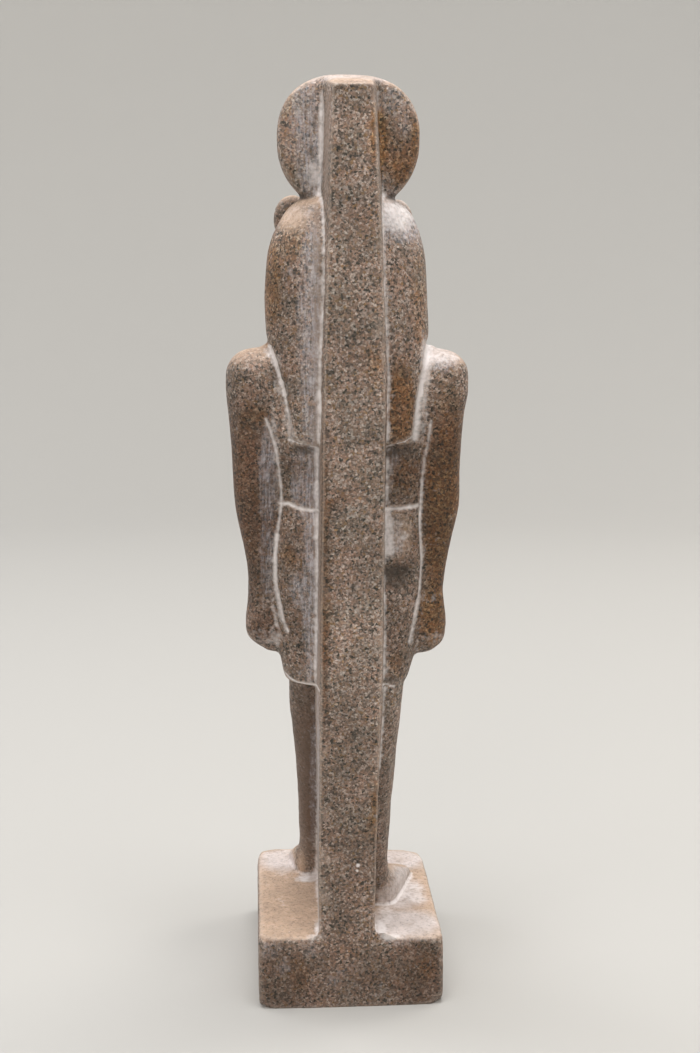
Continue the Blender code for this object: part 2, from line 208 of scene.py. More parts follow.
def cut(line, width, sink, near, far, pale=0.0):
    """Cuts a line of sides and heights in millimetres, where the skin lies between two places in depth."""
    points = [at(side, 0, height) for side, height in line]
    low, high = sorted((near, far))
    inside = (skin[:, INWARD] > low) & (skin[:, INWARD] < high)
    for axis in (ACROSS, UP):
        reach = [point[axis] for point in points]
        inside &= (skin[:, axis] > min(reach) - width / 1000) & (skin[:, axis] < max(reach) + width / 1000)
    chosen = np.flatnonzero(inside)
    flat = skin[chosen][:, [ACROSS, UP]]
    distance = np.full(len(chosen), 1.0)
    for start, end in zip(points, points[1:]):
        a = np.array([start.x, start.z])
        b = np.array([end.x, end.z])
        share = np.clip((flat - a) @ (b - a) / max((b - a) @ (b - a), 1e-12), 0, 1)
        distance = np.minimum(distance, np.linalg.norm(flat - a - share[:, None] * (b - a), axis=1))
    groove = np.clip(1 - distance / (width / 2000), 0, 1)
    skin[chosen] -= facing[chosen] * (groove * sink / 1000)[:, None]
    fresh[chosen] = np.maximum(fresh[chosen], pale * np.exp(-LIME_SPILL * (distance / (width / 2000)) ** 2))


def hollow(side, depth, height, across, through, tall, sink):
    """Grinds a dish round a place, or swells the skin where sink is below nought."""
    away = (skin - np.array(at(side, depth, height))) * 1000 / np.array([across, through, tall])
    dish = np.clip(1 - (away**2).sum(axis=1), 0, 1) ** 2
    skin[:] -= facing * (dish * sink / 1000)[:, None]


def arc(side, height, across, tall, start, stop, steps=16):
    """Sides and heights on an arc with its centre at a side and height, between two angles in degrees."""
    turns = np.radians(np.linspace(start, stop, steps))
    return [(side + across * math.cos(turn), height + tall * math.sin(turn)) for turn in turns]


# The face, the mane and the lappets. Upper and lower eye line, tear line, half the mouth, three whisker lines,
# the dish of an ear and the strands of a lappet are the same on both sides. Each line stops short of the forms
# behind it.
FRONT = cad_low.y
EYE_REACH, WHISKER_REACH, MOUTH_REACH, LIP_REACH, LAPPET_REACH, BELT_REACH, MANE_REACH = (
    at(0, depth, 0).y for depth in (30, 44, 42, 50, 40, 34, 40)
)
MANE_FRONT = at(0, 50, 0).y
MANE_STROKES = 44
for hand in (1, -1):
    cut(arc(EYE_SIDE * hand, EYE_HEIGHT, 4.9, 2.9, 8, 172), 1.0, 0.55, FRONT, EYE_REACH)
    cut(arc(EYE_SIDE * hand, EYE_HEIGHT, 4.9, 2.4, 188, 352), 0.9, 0.5, FRONT, EYE_REACH)
    cut([(5.0 * hand, 295.0), (3.4 * hand, 291.4)], 1.0, 0.5, FRONT, EYE_REACH)
    mouth = [(0, 277.8), (3.0 * hand, 276.4), (7.0 * hand, 277.0), (10.4 * hand, 280.4)]
    cut(mouth, 1.3, 1.1, FRONT, MOUTH_REACH)
    for row in range(3):
        height = 283.4 - 2.1 * row
        whisker = [(3.4 * hand, height), (9.6 * hand, height + 0.9 - 0.5 * row)]
        cut(whisker, 0.8, 0.35, FRONT, WHISKER_REACH)
    hollow((22.2 if hand > 0 else -22.0), 48, 308.6, 6.2, 5.0, 8.0, 2.2)
    for strand in range(4):
        side = (10.6 + 3.2 * strand) * hand
        lock = [(side, 208.6), (side + 0.3 * hand, 232), (side + 2.2 * hand, 256)]
        cut(lock, 0.8, 0.4, FRONT, LAPPET_REACH)
    cut([(8.0 * hand, 210.2), (23.2 * hand, 210.2)], 0.8, 0.4, FRONT, LAPPET_REACH)
cut([(0, 284.6), (0, 277.6)], 1.0, 0.8, FRONT, LIP_REACH)
for stroke in range(MANE_STROKES):
    turn = math.radians(-90 + 360 / MANE_STROKES * (stroke + 0.5))
    inner = (19.4 * math.cos(turn), 287 + 20.2 * math.sin(turn))
    outer = (26.4 * math.cos(turn), 287 + 27.2 * math.sin(turn))
    cut([inner, outer], 0.9, 0.4, MANE_FRONT, MANE_REACH)

# The belt's two lines in front.
cut([(-30, 181.4), (30, 181.4)], 1.0, 0.5, FRONT, BELT_REACH)
cut([(-31, 188.4), (31, 188.4)], 1.0, 0.5, FRONT, BELT_REACH)

# The back's own lines, each with its width, its depth and how white the lime in it is. Those on her left are
# wavy and white, and those on her right straighter and fainter, as on the block.
BACK_REACH, BACK_START = at(0, 32, 0).y, at(0, 3, 0).y
back_lines = [
    # The waist, on her left and on her right.
    ([(29.2, 191.4), (25.4, 191.9), (22.4, 190.6), (18.6, 189.7), (13.6, 189.7)], 1.6, 0.5, 1.0),
    ([(-14.0, 189.8), (-21.4, 189.7), (-29.6, 190.1)], 1.9, 0.5, 1.0),
    # The hem of the kilt, with a break on her right.
    ([(27.4, 115.0), (25.0, 113.8), (22.5, 112.9), (13.0, 112.7)], 1.3, 0.3, 0.9),
    ([(-14.0, 112.6), (-17.0, 112.2)], 1.5, 0.3, 0.9),
    ([(-18.0, 111.0), (-19.6, 110.4)], 1.5, 0.3, 0.8),
    # The wall of the wig against each shoulder and arm, and the wig's lower edge.
    ([(32.7, 257.9), (30.3, 251.7), (28.7, 245.1), (27.1, 238.0)], 2.4, 0.6, 0.15),
    ([(28.2, 243.0), (27.1, 238.0), (25.9, 230.9), (25.1, 225.0), (24.3, 219.6)], 4.0, 0.7, 0.5),
    ([(-34.2, 259.0), (-32.5, 252.2), (-30.9, 243.9), (-29.3, 235.5), (-28.6, 227.1), (-27.8, 219.5)],
     3.6, 0.8, 0.9),
    ([(-34.2, 259.0), (-32.9, 252.2), (-31.4, 243.9)], 5.0, 0.3, 0.9),
    ([(25.0, 219.2), (20.7, 217.9), (14.1, 216.3)], 1.4, 0.7, 0.0),
    ([(-14.8, 216.4), (-19.3, 217.4), (-23.1, 218.6), (-26.4, 220.4)], 1.6, 0.7, 0.0),
    # The groove between her left arm and her body, from the armpit down to the fist.
    ([(34.7, 228.0), (32.6, 222.1), (30.6, 214.4), (29.4, 205.9), (28.6, 197.3), (28.7, 190.8), (29.6, 184.4),
      (30.5, 177.9)], 1.6, 0.5, 0.8),
    ([(30.5, 177.9), (31.5, 169.2), (31.5, 160.4), (31.2, 153.8)], 2.1, 0.6, 1.0),
    ([(31.2, 153.8), (29.9, 148.0), (28.7, 141.3), (26.6, 136.0)], 2.4, 0.6, 0.8),
    # The same groove on her right.
    ([(-34.5, 226.6), (-33.3, 216.0), (-32.1, 209.5), (-31.4, 201.0)], 1.6, 0.5, 0.55),
    ([(-31.4, 201.0), (-31.0, 192.3), (-30.7, 183.6), (-31.2, 174.9), (-31.7, 166.1), (-31.3, 157.3),
      (-30.5, 148.4)], 1.6, 0.5, 0.85),
    ([(-30.5, 148.4), (-29.3, 144.0), (-28.5, 137.3), (-26.8, 130.6)], 2.8, 0.5, 0.75),
]
for line, width, sink, pale in back_lines:
    cut(line, width, sink, BACK_REACH, BACK_START, pale)

# A dish ground out of the kilt on her right, the swelling over it, and a shallow dish on her left.
hollow(-21.0, 13, 160.0, 9.0, 12, 9.0, 2.6)
hollow(-22.0, 12, 175.0, 8.5, 12, 9.0, -0.9)
hollow(22.0, 13, 158.0, 8.0, 12, 9.0, 0.8)

# The block keeps within its size, and its underside is ground flat.
FOOT_PRINT = 0.0006
skin = np.clip(skin, np.array(cad_low), np.array(cad_high))
skin[skin[:, 2] < FOOT_PRINT, 2] = 0.0
statue.data.vertices.foreach_set("co", skin.ravel())
statue.data.update()

# What the years have left on the stone, with painted light and shade among it. Lime and dust have dried white
# in the corners that no abrasive reached, dust lies on what faces up and painted light from above makes those
# faces paler still, and iron, ash, lime and hands have coloured broad patches. Painted shadows lie under the
# overhangs and in a dish, a painted cool highlight beside the pillar on her left, painted light on the plinth's
# shaded corners, and painted shade low on the pillar and on the plinth's back.
LIME_REACH, HALO_REACH = 5, 25
HALO_LEFT, HALO_RIGHT = 0.62, 0.40
facing = columns(statue.data.vertices, "normal", 3)
soft = blurred(skin, LIME_REACH)
sunk = ((soft - skin) * facing).sum(axis=1) * 1000
broad_sunk = ((blurred(soft, HALO_REACH) - skin) * facing).sum(axis=1) * 1000
halo = np.where(skin[:, 0] > 0, HALO_LEFT, HALO_RIGHT) * np.clip((broad_sunk - 0.10) / 0.22, 0, 1)
rubbed_bare = patches([
    # Between the arms and the body.
    (32, 18, 180, 10, 20, 46, 0.9),
    (-32, 18, 180, 10, 20, 46, 0.9),
    # Where the disk meets the pillar, and beside her left foot.
    (-13, 24, 342, 4, 9, 20, 0.95),
    (24, 84, 2, 7, 22, 6, 0.85),
])
corners = np.maximum(np.clip((sunk - 0.02) / 0.075, 0, 1), halo) * (1 - rubbed_bare)
# Lime in patches, and painted light on the plinth where it lies in shade by the pillar's foot and her left leg.
chalk_and_painted_light = patches([
    # Beside the pillar on the disk, on the wig's crown and on her right ear.
    (10.6, 22, 346, 1.5, 6, 17, 0.9),
    (13.4, 22, 327, 3.5, 6, 7, 0.6),
    (-19.5, 18, 311, 9, 14, 7.5, 0.62),
    (-22.5, 42, 316, 6, 6, 4, 0.5),
    # Her right shoulder and the walls of the wig.
    (-41, 22, 254, 7, 14, 7, 0.24),
    (29.0, 15, 246, 2.0, 8, 11, 0.35),
    (-31.2, 15, 243, 2.4, 8, 20, 0.45),
    # The kilt below the waist on her right, and under the fists.
    (-16.6, 11, 179, 2.6, 6, 12, 0.72),
    (-21.5, 11, 179, 5.0, 6, 9, 0.2),
    (35, 20, 132, 8, 14, 5, 0.32),
    (-37, 22, 130, 8, 14, 4, 0.24),
    # Round the feet, with painted light on the plinth in the shade of her left leg.
    (-17.5, 24, 2, 4, 12, 4, 0.5),
    (17, 61.5, 1.0, 6.5, 4, 2.6, 0.9),
    (-24, 44, 2, 9, 14, 4, 0.35),
    (-31, 46, 0, 7, 12, 3, 0.45),
    (-22, 60, 3, 8, 13, 5, 0.45),
    # The corners at the pillar's foot, painted light on the plinth beside them where it lies in shade, and two
    # specks on its back.
    (14.2, 9, 5, 2.2, 10, 15, 0.55),
    (-14.2, 9, 7, 2.6, 10, 17, 1.0),
    (-17.0, 1, 1.4, 5.5, 3, 2.6, 0.8),
    (16.5, 1, 1.8, 3.0, 3, 2.4, 0.7),
    (-3.0, 0, 34.7, 0.9, 3, 1.0, 1.4),
    (-2.6, 0, 32.3, 0.7, 3, 0.7, 1.1),
])
settled = patches([
    # On and beside the feet.
    (25.5, 84, 3, 6.5, 15, 9, 1.0),
    (21, 62, 6, 4, 9, 10, 0.9),
    (-24, 46, 4, 12, 22, 9, 0.85),
    (-19, 34, 3, 6, 6, 7, 0.8),
    (-22, 62, 4, 8, 12, 5, 0.6),
    # The wig's crown on her left, and the kilt below the waist on her right.
    (22, 20, 310, 8, 12, 6, 0.9),
    (-22, 12, 178, 6, 6, 10, 0.35),
])
wiped = patches([
    # Her left shoulder, the pillar's top and the disk's.
    (38, 22, 249, 12, 18, 9, 0.5),
    (-2, 3, 366, 16, 6, 5, 0.75),
    (0, 24, 368, 40, 16, 6, 0.3),
])
faces_up = np.clip((facing[:, 2] - 0.42) / 0.45, 0, 1)
faces_back = np.clip((facing[:, 1] + 0.3) / 0.2, 0, 1)
marks = {
    "worn": np.clip((-sunk - 0.03) / 0.06, 0, 1),
    # Dust, and painted light from above that makes the faces that look up paler.
    "dust_and_painted_top_light": np.maximum(faces_up, settled) * (1 - wiped),
    # Ash-grey film, and on her left beside the pillar a painted bluish-white highlight.
    "ash_and_painted_highlight": faces_back * patches([
        # The disk.
        (16.0, 22, 346, 8, 6, 22, 0.8),
        (22.0, 22, 342, 6, 6, 12, 0.4),
        (14.0, 22, 327, 7.0, 6, 9, 1.0),
        (-21.5, 22, 347, 4, 6, 6, 0.5),
        (-17, 22, 357, 7, 6, 6, 0.45),
        (-2, 20, 367, 30, 16, 4, 0.6),
        # The wig and her right shoulder.
        (16.5, 10, 268, 5.5, 8, 42, 0.7),
        (15.0, 10, 268, 3.0, 8, 46, 1.0),
        (15.5, 18, 298, 4.0, 8, 18, 0.85),
        (20, 20, 311, 6, 10, 5, 0.35),
        (16.0, 10, 236, 5.0, 6, 26, 0.85),
        (-17.9, 12, 211, 3.0, 6, 5, 0.5),
        (-22, 22, 310, 14, 20, 12, 1.0),
        (-38, 20, 254, 10, 14, 8, 0.9),
        # The small of the back, her left arm and the kilt.
        (15.0, 12, 198, 4.5, 6, 26, 0.95),
        (20.0, 12, 202, 8, 6, 16, 0.6),
        (34.0, 18, 205, 4.5, 10, 26, 0.75),
        (34.6, 20, 168, 4.0, 8, 22, 0.6),
        (15.8, 12, 152, 4.6, 6, 44, 0.95),
        (20.0, 12, 155, 7, 6, 9, 0.6),
        (-18.5, 11, 179, 6.0, 6, 11, 0.6),
        # Her left leg and the pillar beside it.
        (13.6, 48, 58, 2.8, 26, 60, 0.65),
        (13.9, 8, 66, 2.6, 5, 56, 0.8),
        (17, 66, 0, 6, 5, 3, 0.8),
        # The plinth, above and behind.
        (-24, 14, 0, 20, 16, 4, 1.0),
        (-25, 46, 4, 14, 24, 10, 1.0),
        (27, 84, 2, 15, 17, 5, 0.95),
        (-30, 84, 0, 14, 16, 4, 0.85),
        (30.8, 0, -13.3, 3.0, 3, 2.8, 0.5),
        (2.0, 0, -20, 12, 3, 6, 0.35),
        (18, 0, -4, 5, 3, 5, 0.4),
        (36, 0, -4, 6, 3, 6, 0.35),
    ]),
    "stain": patches([
        # The disk.
        (-13.0, 22, 341, 3.6, 6, 16, 1.2),
        (-29, 24, 340, 4, 8, 12, 0.9),
        (-18, 22, 338, 8, 6, 14, 0.6),
        (-24, 22, 331, 8, 6, 10, 0.85),
        (24, 24, 341, 4.0, 8, 24, 0.4),
        # The pillar's edges.
        (-8.7, 0, 342, 1.6, 3, 12, 0.9),
        (-9.0, 0, 252, 4.5, 3, 9, 0.5),
        (11.2, 0, 160, 2.0, 3, 66, 0.7),
        (-10.8, 0, 60, 2.0, 3, 18, 0.9),
        # The wig.
        (-20.8, 8, 234, 7, 8, 20, 1.0),
        (-30, 12, 280, 5, 12, 26, 0.5),
        (32, 14, 286, 4.5, 12, 26, 0.85),
        (24, 14, 300, 7, 10, 8, 0.5),
        # The arms.
        (-41, 22, 190, 10, 18, 62, 1.0),
        (-38, 22, 140, 9, 14, 16, 1.0),
        (43, 22, 196, 8, 18, 50, 0.5),
        (40, 14, 230, 8, 8, 5, 0.7),
        # The small of the back and the kilt.
        (-24, 14, 203, 7, 8, 9, 0.6),
        (26, 12, 169, 4, 6, 6, 0.8),
        (-22, 12, 121, 6, 6, 7, 0.6),
        # The plinth, behind and above.
        (22.5, 0, -16, 5, 3, 11, 0.5),
        (-31, 0, -14, 8, 4, 9, 0.66),
        (26, 36, 1, 14, 26, 4, 0.35),
    ]),
    # Painted shade: dark where shadow falls under the wig, the hem and the disk and in the kilt's dish.
    "painted_shade_and_dirt": patches([
        # The dish in the kilt, painted shade in its hollow.
        (-20.0, 13, 163.0, 8.0, 8, 3.6, 1.0),
        (-20.0, 13, 158.5, 6.5, 8, 5.5, 0.8),
        # Painted shadow under the wig, the hem and the disk.
        (-20, 10, 214, 9, 8, 3.5, 0.8),
        (20, 10, 215.0, 7, 8, 2, 0.7),
        (-19, 12, 114, 5, 8, 2.0, 0.8),
        (17.8, 25, 318.4, 5.0, 9, 2.8, 1.0),
        (-18.4, 25, 318.4, 3.0, 9, 2.4, 1.0),
        # The plinth below the pillar.
        (12.0, 0, -8, 3, 3, 7, 0.35),
    ]),
    "handled_and_painted_shade": patches([
        # The arms and her left fist.
        (42, 24, 190, 14, 30, 62, 1.0),
        (-42, 24, 190, 14, 30, 62, 0.75),
        (37, 22, 138, 9, 20, 11, 0.95),
        # The kilt and the small of the back.
        (24, 20, 150, 14, 26, 44, 0.5),
        (-24, 20, 150, 14, 26, 44, 0.45),
        (24, 20, 200, 14, 26, 18, 0.55),
        (-24, 20, 200, 14, 26, 18, 0.7),
        # The legs and her left heel.
        (16, 44, 60, 14, 34, 62, 1.0),
        (-14, 30, 60, 14, 30, 60, 0.4),
        (18, 58, 9, 5, 8, 8, 0.4),
        # The pillar's left edge, and painted shade that darkens the pillar towards its foot and the plinth's
        # back.
        (11.0, 0, 160, 2.6, 3, 90, 0.7),
        (0, 0, 30, 20, 6, 90, 0.42),
        (30, 0, -16, 22, 6, 20, 0.85),
        (-30, 0, -16, 22, 6, 20, 0.88),
        (0, 0, -16, 20, 6, 20, 0.7),
        # The disk, her left ear and the wig.
        (-25, 24, 335, 7, 8, 22, 0.3),
        (24, 42, 309, 7, 6, 8, 0.7),
        (25, 14, 266, 9, 10, 38, 0.42),
        (-20, 10, 236, 8, 10, 22, 0.5),
    ]),
    "rubbed": patches([
        # The legs.
        (17, 55, 60, 8, 40, 62, 0.9),
        (-20, 40, 60, 8, 30, 60, 0.4),
        # The pillar's flank on her left.
        (13.4, 9, 200, 2.2, 8, 200, 1.0),
        (10.5, 9, 344, 2.6, 8, 30, 1.0),
    ]),
}
# The lime mark, with the painted light of the patches above, and none where the painted shade is.
marks["lime"] = np.maximum(np.maximum(corners, chalk_and_painted_light), fresh) * (1 - marks["painted_shade_and_dirt"])

# The finished mesh. It keeps its points close where lines, corners, lime and painted light are, and is thinned
# out elsewhere.
# Each point that is left takes over the marks of the nearest point that was there before.
MOST_TRIANGLES = 196000
KEEP_STEPS = 8
detail = blurred(np.clip(np.abs(sunk) / 0.12 + fresh + chalk_and_painted_light, 0, 1)[:, None], 4)[:, 0]
fine = statue.vertex_groups.new(name="fine")
for step in range(1, KEEP_STEPS + 1):
    alike = np.flatnonzero(np.ceil(detail * KEEP_STEPS) == step)
    fine.add(alike.tolist(), step / KEEP_STEPS, "REPLACE")
tree = kdtree.KDTree(count)
for index, point in enumerate(skin):
    tree.insert(point, index)
tree.balance()
triangles = sum(len(face.vertices) - 2 for face in statue.data.polygons)
work(
    statue,
    "DECIMATE",
    ratio=MOST_TRIANGLES / triangles,
    use_collapse_triangulate=True,
    vertex_group="fine",
    invert_vertex_group=True,
    vertex_group_factor=2.0,
)
statue.vertex_groups.clear()
kept = np.clip(columns(statue.data.vertices, "co", 3), np.array(cad_low), np.array(cad_high))
statue.data.vertices.foreach_set("co", kept.ravel())
nearest = [tree.find(point)[1] for point in kept]
for name, values in marks.items():
    attribute = statue.data.attributes.new(name, "FLOAT", "POINT")
    attribute.data.foreach_set("value", values[nearest].astype(np.float32))
statue.data.shade_smooth()
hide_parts("sekhmet_statue")
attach(statue, "root")


# Granite: interlocked grains of salmon feldspar, grey quartz and black mica, about one millimetre wide, with a
# dull rubbed skin. Iron has stained parts of it orange, lime and dust whiten the hollows and upper faces, and
# painted light, painted highlight and painted shade lie over some of it.
def colour(text):
    """The linear colour of an sRGB hex value."""
    parts = [int(text[i : i + 2], 16) / 255 for i in (1, 3, 5)]
    return [c / 12.92 if c <= 0.04045 else ((c + 0.055) / 1.055) ** 2.4 for c in parts] + [1.0]


granite = bpy.data.materials.new("rubbed brown granite")
granite.use_nodes = True
sheet = granite.node_tree
sheet.nodes.clear()


def add(kind, inputs=None, stops=(), **settings):
    """Adds a node with its settings, a ramp's stops, and a value, a colour or a link for each input."""
    made = sheet.nodes.new("ShaderNode" + kind)
    for name, value in settings.items():
        setattr(made, name, value)
    for name, value in (inputs or {}).items():
        if isinstance(value, bpy.types.Node):
            value = next(output for output in value.outputs if output.enabled)
        if isinstance(value, bpy.types.NodeSocket):
            sheet.links.new(value, made.inputs[name])
        else:
            made.inputs[name].default_value = colour(value) if isinstance(value, str) else value
    while stops and len(made.color_ramp.elements) < len(stops):
        made.color_ramp.elements.new(0.5)
    for stop, (position, tone) in enumerate(stops):
        element = made.color_ramp.elements[stop]
        element.position = position
        element.color = colour(tone) if isinstance(tone, str) else (tone, tone, tone, 1.0)
    return made


# Widths in millimetres of the feldspar and quartz grains, of the fine grain between them and of the mica.
GRAIN, FINE_GRAIN, MICA = 0.9, 0.55, 1.3
# How many to the metre: beds of lighter stone 33 mm wide, warm and cool clouds of 12 mm, blotches of 8 mm,
# dapples of 2 mm, scratches 0.8 mm wide and eleven times as long, and the waves of a grain's edge, 0.9 mm.
BEDS, CLOUDS, BLOTCHES, DAPPLES, SCRATCHES, EDGES = 30.0, 85.0, 120.0, 500.0, 1300.0, 1100.0
SCRATCH_LENGTH = 0.09
EDGE_PUSH = 0.0010

# A colour is laid over another, or tints it. Values are multiplied, added or taken away.
PAINT = {"data_type": "RGBA"}
TINT = {"data_type": "RGBA", "blend_type": "MULTIPLY"}
TIMES = {"operation": "MULTIPLY"}
PLUS = {"operation": "ADD"}
MINUS = {"operation": "SUBTRACT"}

place = add("TexCoord").outputs["Object"]
wander = add("TexNoise", {"Vector": place, "Scale": EDGES, "Detail": 1.0})
push = add("VectorMath", {0: wander.outputs["Color"], 1: (0.5, 0.5, 0.5)}, **MINUS)
push = add("VectorMath", {0: push, 3: EDGE_PUSH}, operation="SCALE")
loose = add("VectorMath", {0: place, 1: push}, **PLUS)
grains = add("TexVoronoi", {"Vector": loose, "Scale": 1000 / GRAIN})
small = add("TexVoronoi", {"Vector": loose, "Scale": 1000 / FINE_GRAIN})
mica = add("TexVoronoi", {"Vector": loose, "Scale": 1000 / MICA})
beds = add("TexNoise", {"Vector": place, "Scale": BEDS, "Detail": 3.0})
clouds = add("TexNoise", {"Vector": place, "Scale": CLOUDS, "Detail": 3.0})
blotch = add("TexNoise", {"Vector": place, "Scale": BLOTCHES, "Detail": 4.0})
dapple = add("TexNoise", {"Vector": place, "Scale": DAPPLES, "Detail": 3.0})
drawn = add("Mapping", {"Vector": loose, "Scale": (1.0, 1.0, SCRATCH_LENGTH)})
scratches = add("TexNoise", {"Vector": drawn, "Scale": SCRATCHES, "Detail": 2.0})

# The clean stone: dark quartz, brown and salmon feldspar, pale feldspar and a few rusty grains, each sprinkled
# with fine grain, over beds and clouds of slightly different tone.
pick = add("SeparateColor", {"Color": grains.outputs["Color"]})
minerals = add("ValToRGB", {"Fac": pick}, [
    (0.0, "#474640"),
    (0.08, "#5F5952"),
    (0.13, "#7E7168"),
    (0.30, "#8F7E73"),
    (0.36, "#A48978"),
    (0.60, "#AD9485"),
    (0.66, "#B09F96"),
    (0.86, "#C6B9B1"),
    (0.92, "#D8CDC7"),
    (0.96, "#A68867"),
    (1.0, "#9A7F62"),
])
salt = add("SeparateColor", {"Color": small.outputs["Color"]})
sprinkle = add("ValToRGB", {"Fac": salt}, [(0.0, 0.42), (0.3, 0.78), (0.75, 1.0), (1.0, 1.5)])
bedding = add("ValToRGB", {"Fac": beds}, [(0.3, "#CFC9C3"), (0.7, "#FFFDFA")])
warmth = add("ValToRGB", {"Fac": clouds}, [(0.38, "#CED3CF"), (0.62, "#FFF6F1")])
stone = add("Mix", {0: 0.9, 6: minerals, 7: sprinkle}, **TINT)
stone = add("Mix", {0: 0.8, 6: stone, 7: bedding}, **TINT)
stone = add("Mix", {0: 0.6, 6: stone, 7: warmth}, **TINT)

# The marks of the years and the painted light and shade, held by the points of the mesh. Most are broken up at
# their edges by the blotches.
held = {name: add("Attribute", attribute_name=name).outputs["Fac"] for name in marks}


def broken(name, amount=1.1):
    """A mark's strength, broken up at its edges by blotches and dapples."""
    uneven = add("Math", {0: blotch, 1: amount}, **TIMES)
    uneven = add("Math", {0: uneven, 1: add("Math", {0: dapple, 1: 0.6}, **TIMES)}, **PLUS)
    uneven = add("Math", {0: uneven, 1: 0.5 * amount + 0.3}, **MINUS)
    uneven = add("Math", {0: held[name], 1: uneven}, **PLUS)
    return add("MapRange", {0: uneven, 1: 0.15, 2: 0.95, 3: 0.0, 4: 1.0})


# Rubbed stone is greyer and evener, handled stone darker, stained stone orange, and painted shade darkens the
# pillar's foot and the plinth's back. Mica flakes lie in it all, and show less where it is rubbed.
rubbed = add("Math", {0: held["rubbed"], 1: 0.75}, **TIMES)
handled_and_painted_shade = add("Math", {0: held["handled_and_painted_shade"], 1: 0.9}, **TIMES)
stained = add("Math", {0: broken("stain"), 1: 0.75}, **TIMES)
stone = add("Mix", {0: rubbed, 6: stone, 7: "#9C8A7E"}, **PAINT)
# Darker: handled stone, and painted shade low on the pillar and over the plinth's back.
stone = add("Mix", {0: handled_and_painted_shade, 6: stone, 7: "#A9988A"}, **TINT)
stone = add("Mix", {0: stained, 6: stone, 7: "#ECBE69"}, **TINT)
flakes = add("SeparateColor", {"Color": mica.outputs["Color"]}).outputs[1]
flakes = add("MapRange", {0: flakes, 1: 0.82, 2: 0.88, 3: 0.0, 4: 1.0})
flake_edges = add("MapRange", {0: mica, 1: 0.52, 2: 0.32, 3: 0.0, 4: 1.0})
still_dark = add("MapRange", {0: held["rubbed"], 1: 0.0, 2: 1.0, 3: 0.8, 4: 0.35})
flakes = add("Math", {0: flakes, 1: flake_edges}, **TIMES)
flakes = add("Math", {0: flakes, 1: still_dark}, **TIMES)
stone = add("Mix", {0: flakes, 6: stone, 7: "#2A2925"}, **PAINT)

# Ash-grey film, and a painted cool highlight beside the pillar on her left, thinner and thicker along the
# scratches, with painted shade in dark brown and pale streaks over it.
film = add("MapRange", {0: scratches, 1: 0.38, 2: 0.62, 3: 0.14, 4: 0.62})
film = add("Math", {0: film, 1: add("MapRange", {0: dapple, 1: 0.38, 2: 0.6, 3: 0.55, 4: 1.0})}, **TIMES)
film = add("Math", {0: broken("ash_and_painted_highlight", 0.9), 1: film}, **TIMES)
painted_shade_and_dirt = add("Math", {0: broken("painted_shade_and_dirt"), 1: 0.8}, **TIMES)
streaks = add("MapRange", {0: scratches, 1: 0.58, 2: 0.68, 3: 0.0, 4: 0.25})
streaks = add("Math", {0: held["ash_and_painted_highlight"], 1: streaks}, **TIMES)
# Bluish grey: ash, and a painted highlight beside the pillar on her left.
stone = add("Mix", {0: film, 6: stone, 7: "#C6C4CC"}, **PAINT)
# Dark brown: painted shade, and a faint dark strip on the plinth.
stone = add("Mix", {0: painted_shade_and_dirt, 6: stone, 7: "#3E342B"}, **PAINT)
stone = add("Mix", {0: streaks, 6: stone, 7: "#DAD4D5"}, **PAINT)

# Dust and painted light from above: warm, and greyer where there is ash, with the darkest of the fine grain
# showing through.
dust_and_top_light_tone = add("Mix", {0: broken("ash_and_painted_highlight"), 6: "#C8AC95", 7: "#D3C7C2"}, **PAINT)
thickness = add("ValToRGB", {"Fac": blotch}, [(0.35, 0.90), (0.6, 1.08)])
dust_and_top_light_tone = add("Mix", {0: 1.0, 6: dust_and_top_light_tone, 7: thickness}, **TINT)
patchy = add("MapRange", {0: dapple, 1: 0.3, 2: 0.55, 3: 0.60, 4: 0.92})
specks = add("MapRange", {0: salt, 1: 0.08, 2: 0.14, 3: 0.62, 4: 1.0})
dust_and_painted_top_light = add("Math", {0: held["dust_and_painted_top_light"], 1: patchy}, **TIMES)
dust_and_painted_top_light = add("Math", {0: dust_and_painted_top_light, 1: specks}, **TIMES)
stone = add("Mix", {0: dust_and_painted_top_light, 6: stone, 7: dust_and_top_light_tone}, **PAINT)

# Lime, with painted light beside the pillar's foot and her left leg, with ragged edges, and last the bare,
# paler stone of edges that are knocked or rubbed.
ragged = add("Math", {0: dapple, 1: 0.5}, **MINUS)
ragged = add("Math", {0: ragged, 1: add("Math", {0: blotch, 1: 0.7}, **TIMES)}, **PLUS)
ragged = add("Math", {0: ragged, 1: 0.35}, **MINUS)
lime = add("Math", {0: held["lime"], 1: ragged}, **PLUS)
lime = add("MapRange", {0: lime, 1: 0.15, 2: 1.0, 3: 0.0, 4: 1.0})
lime = add("Math", {0: lime, 1: 0.95}, **TIMES)
knocked = add("Math", {0: held["worn"], 1: 0.3}, **TIMES)
stone = add("Mix", {0: lime, 6: stone, 7: "#EDE6E4"}, **PAINT)
stone = add("Mix", {0: knocked, 6: stone, 7: "#CDBBAD"}, **PAINT)

# The skin is dull, some grains a little more so than others, and their edges stand up by a hair.
relief = add("Math", {0: grains, 1: 0.5}, **TIMES)
relief = add("Math", {0: relief, 1: add("Math", {0: dapple, 1: 0.8}, **TIMES)}, **PLUS)
bump = add("Bump", {"Height": relief, "Strength": 0.4, "Distance": 0.0003})
rough = add("MapRange", {0: pick.outputs[1], 1: 0.0, 2: 1.0, 3: 0.55, 4: 0.8})
shader = add("BsdfPrincipled", {"Base Color": stone, "Roughness": rough, "Normal": bump, "IOR": 1.5})
add("OutputMaterial", {"Surface": shader})
statue.data.materials.append(granite)

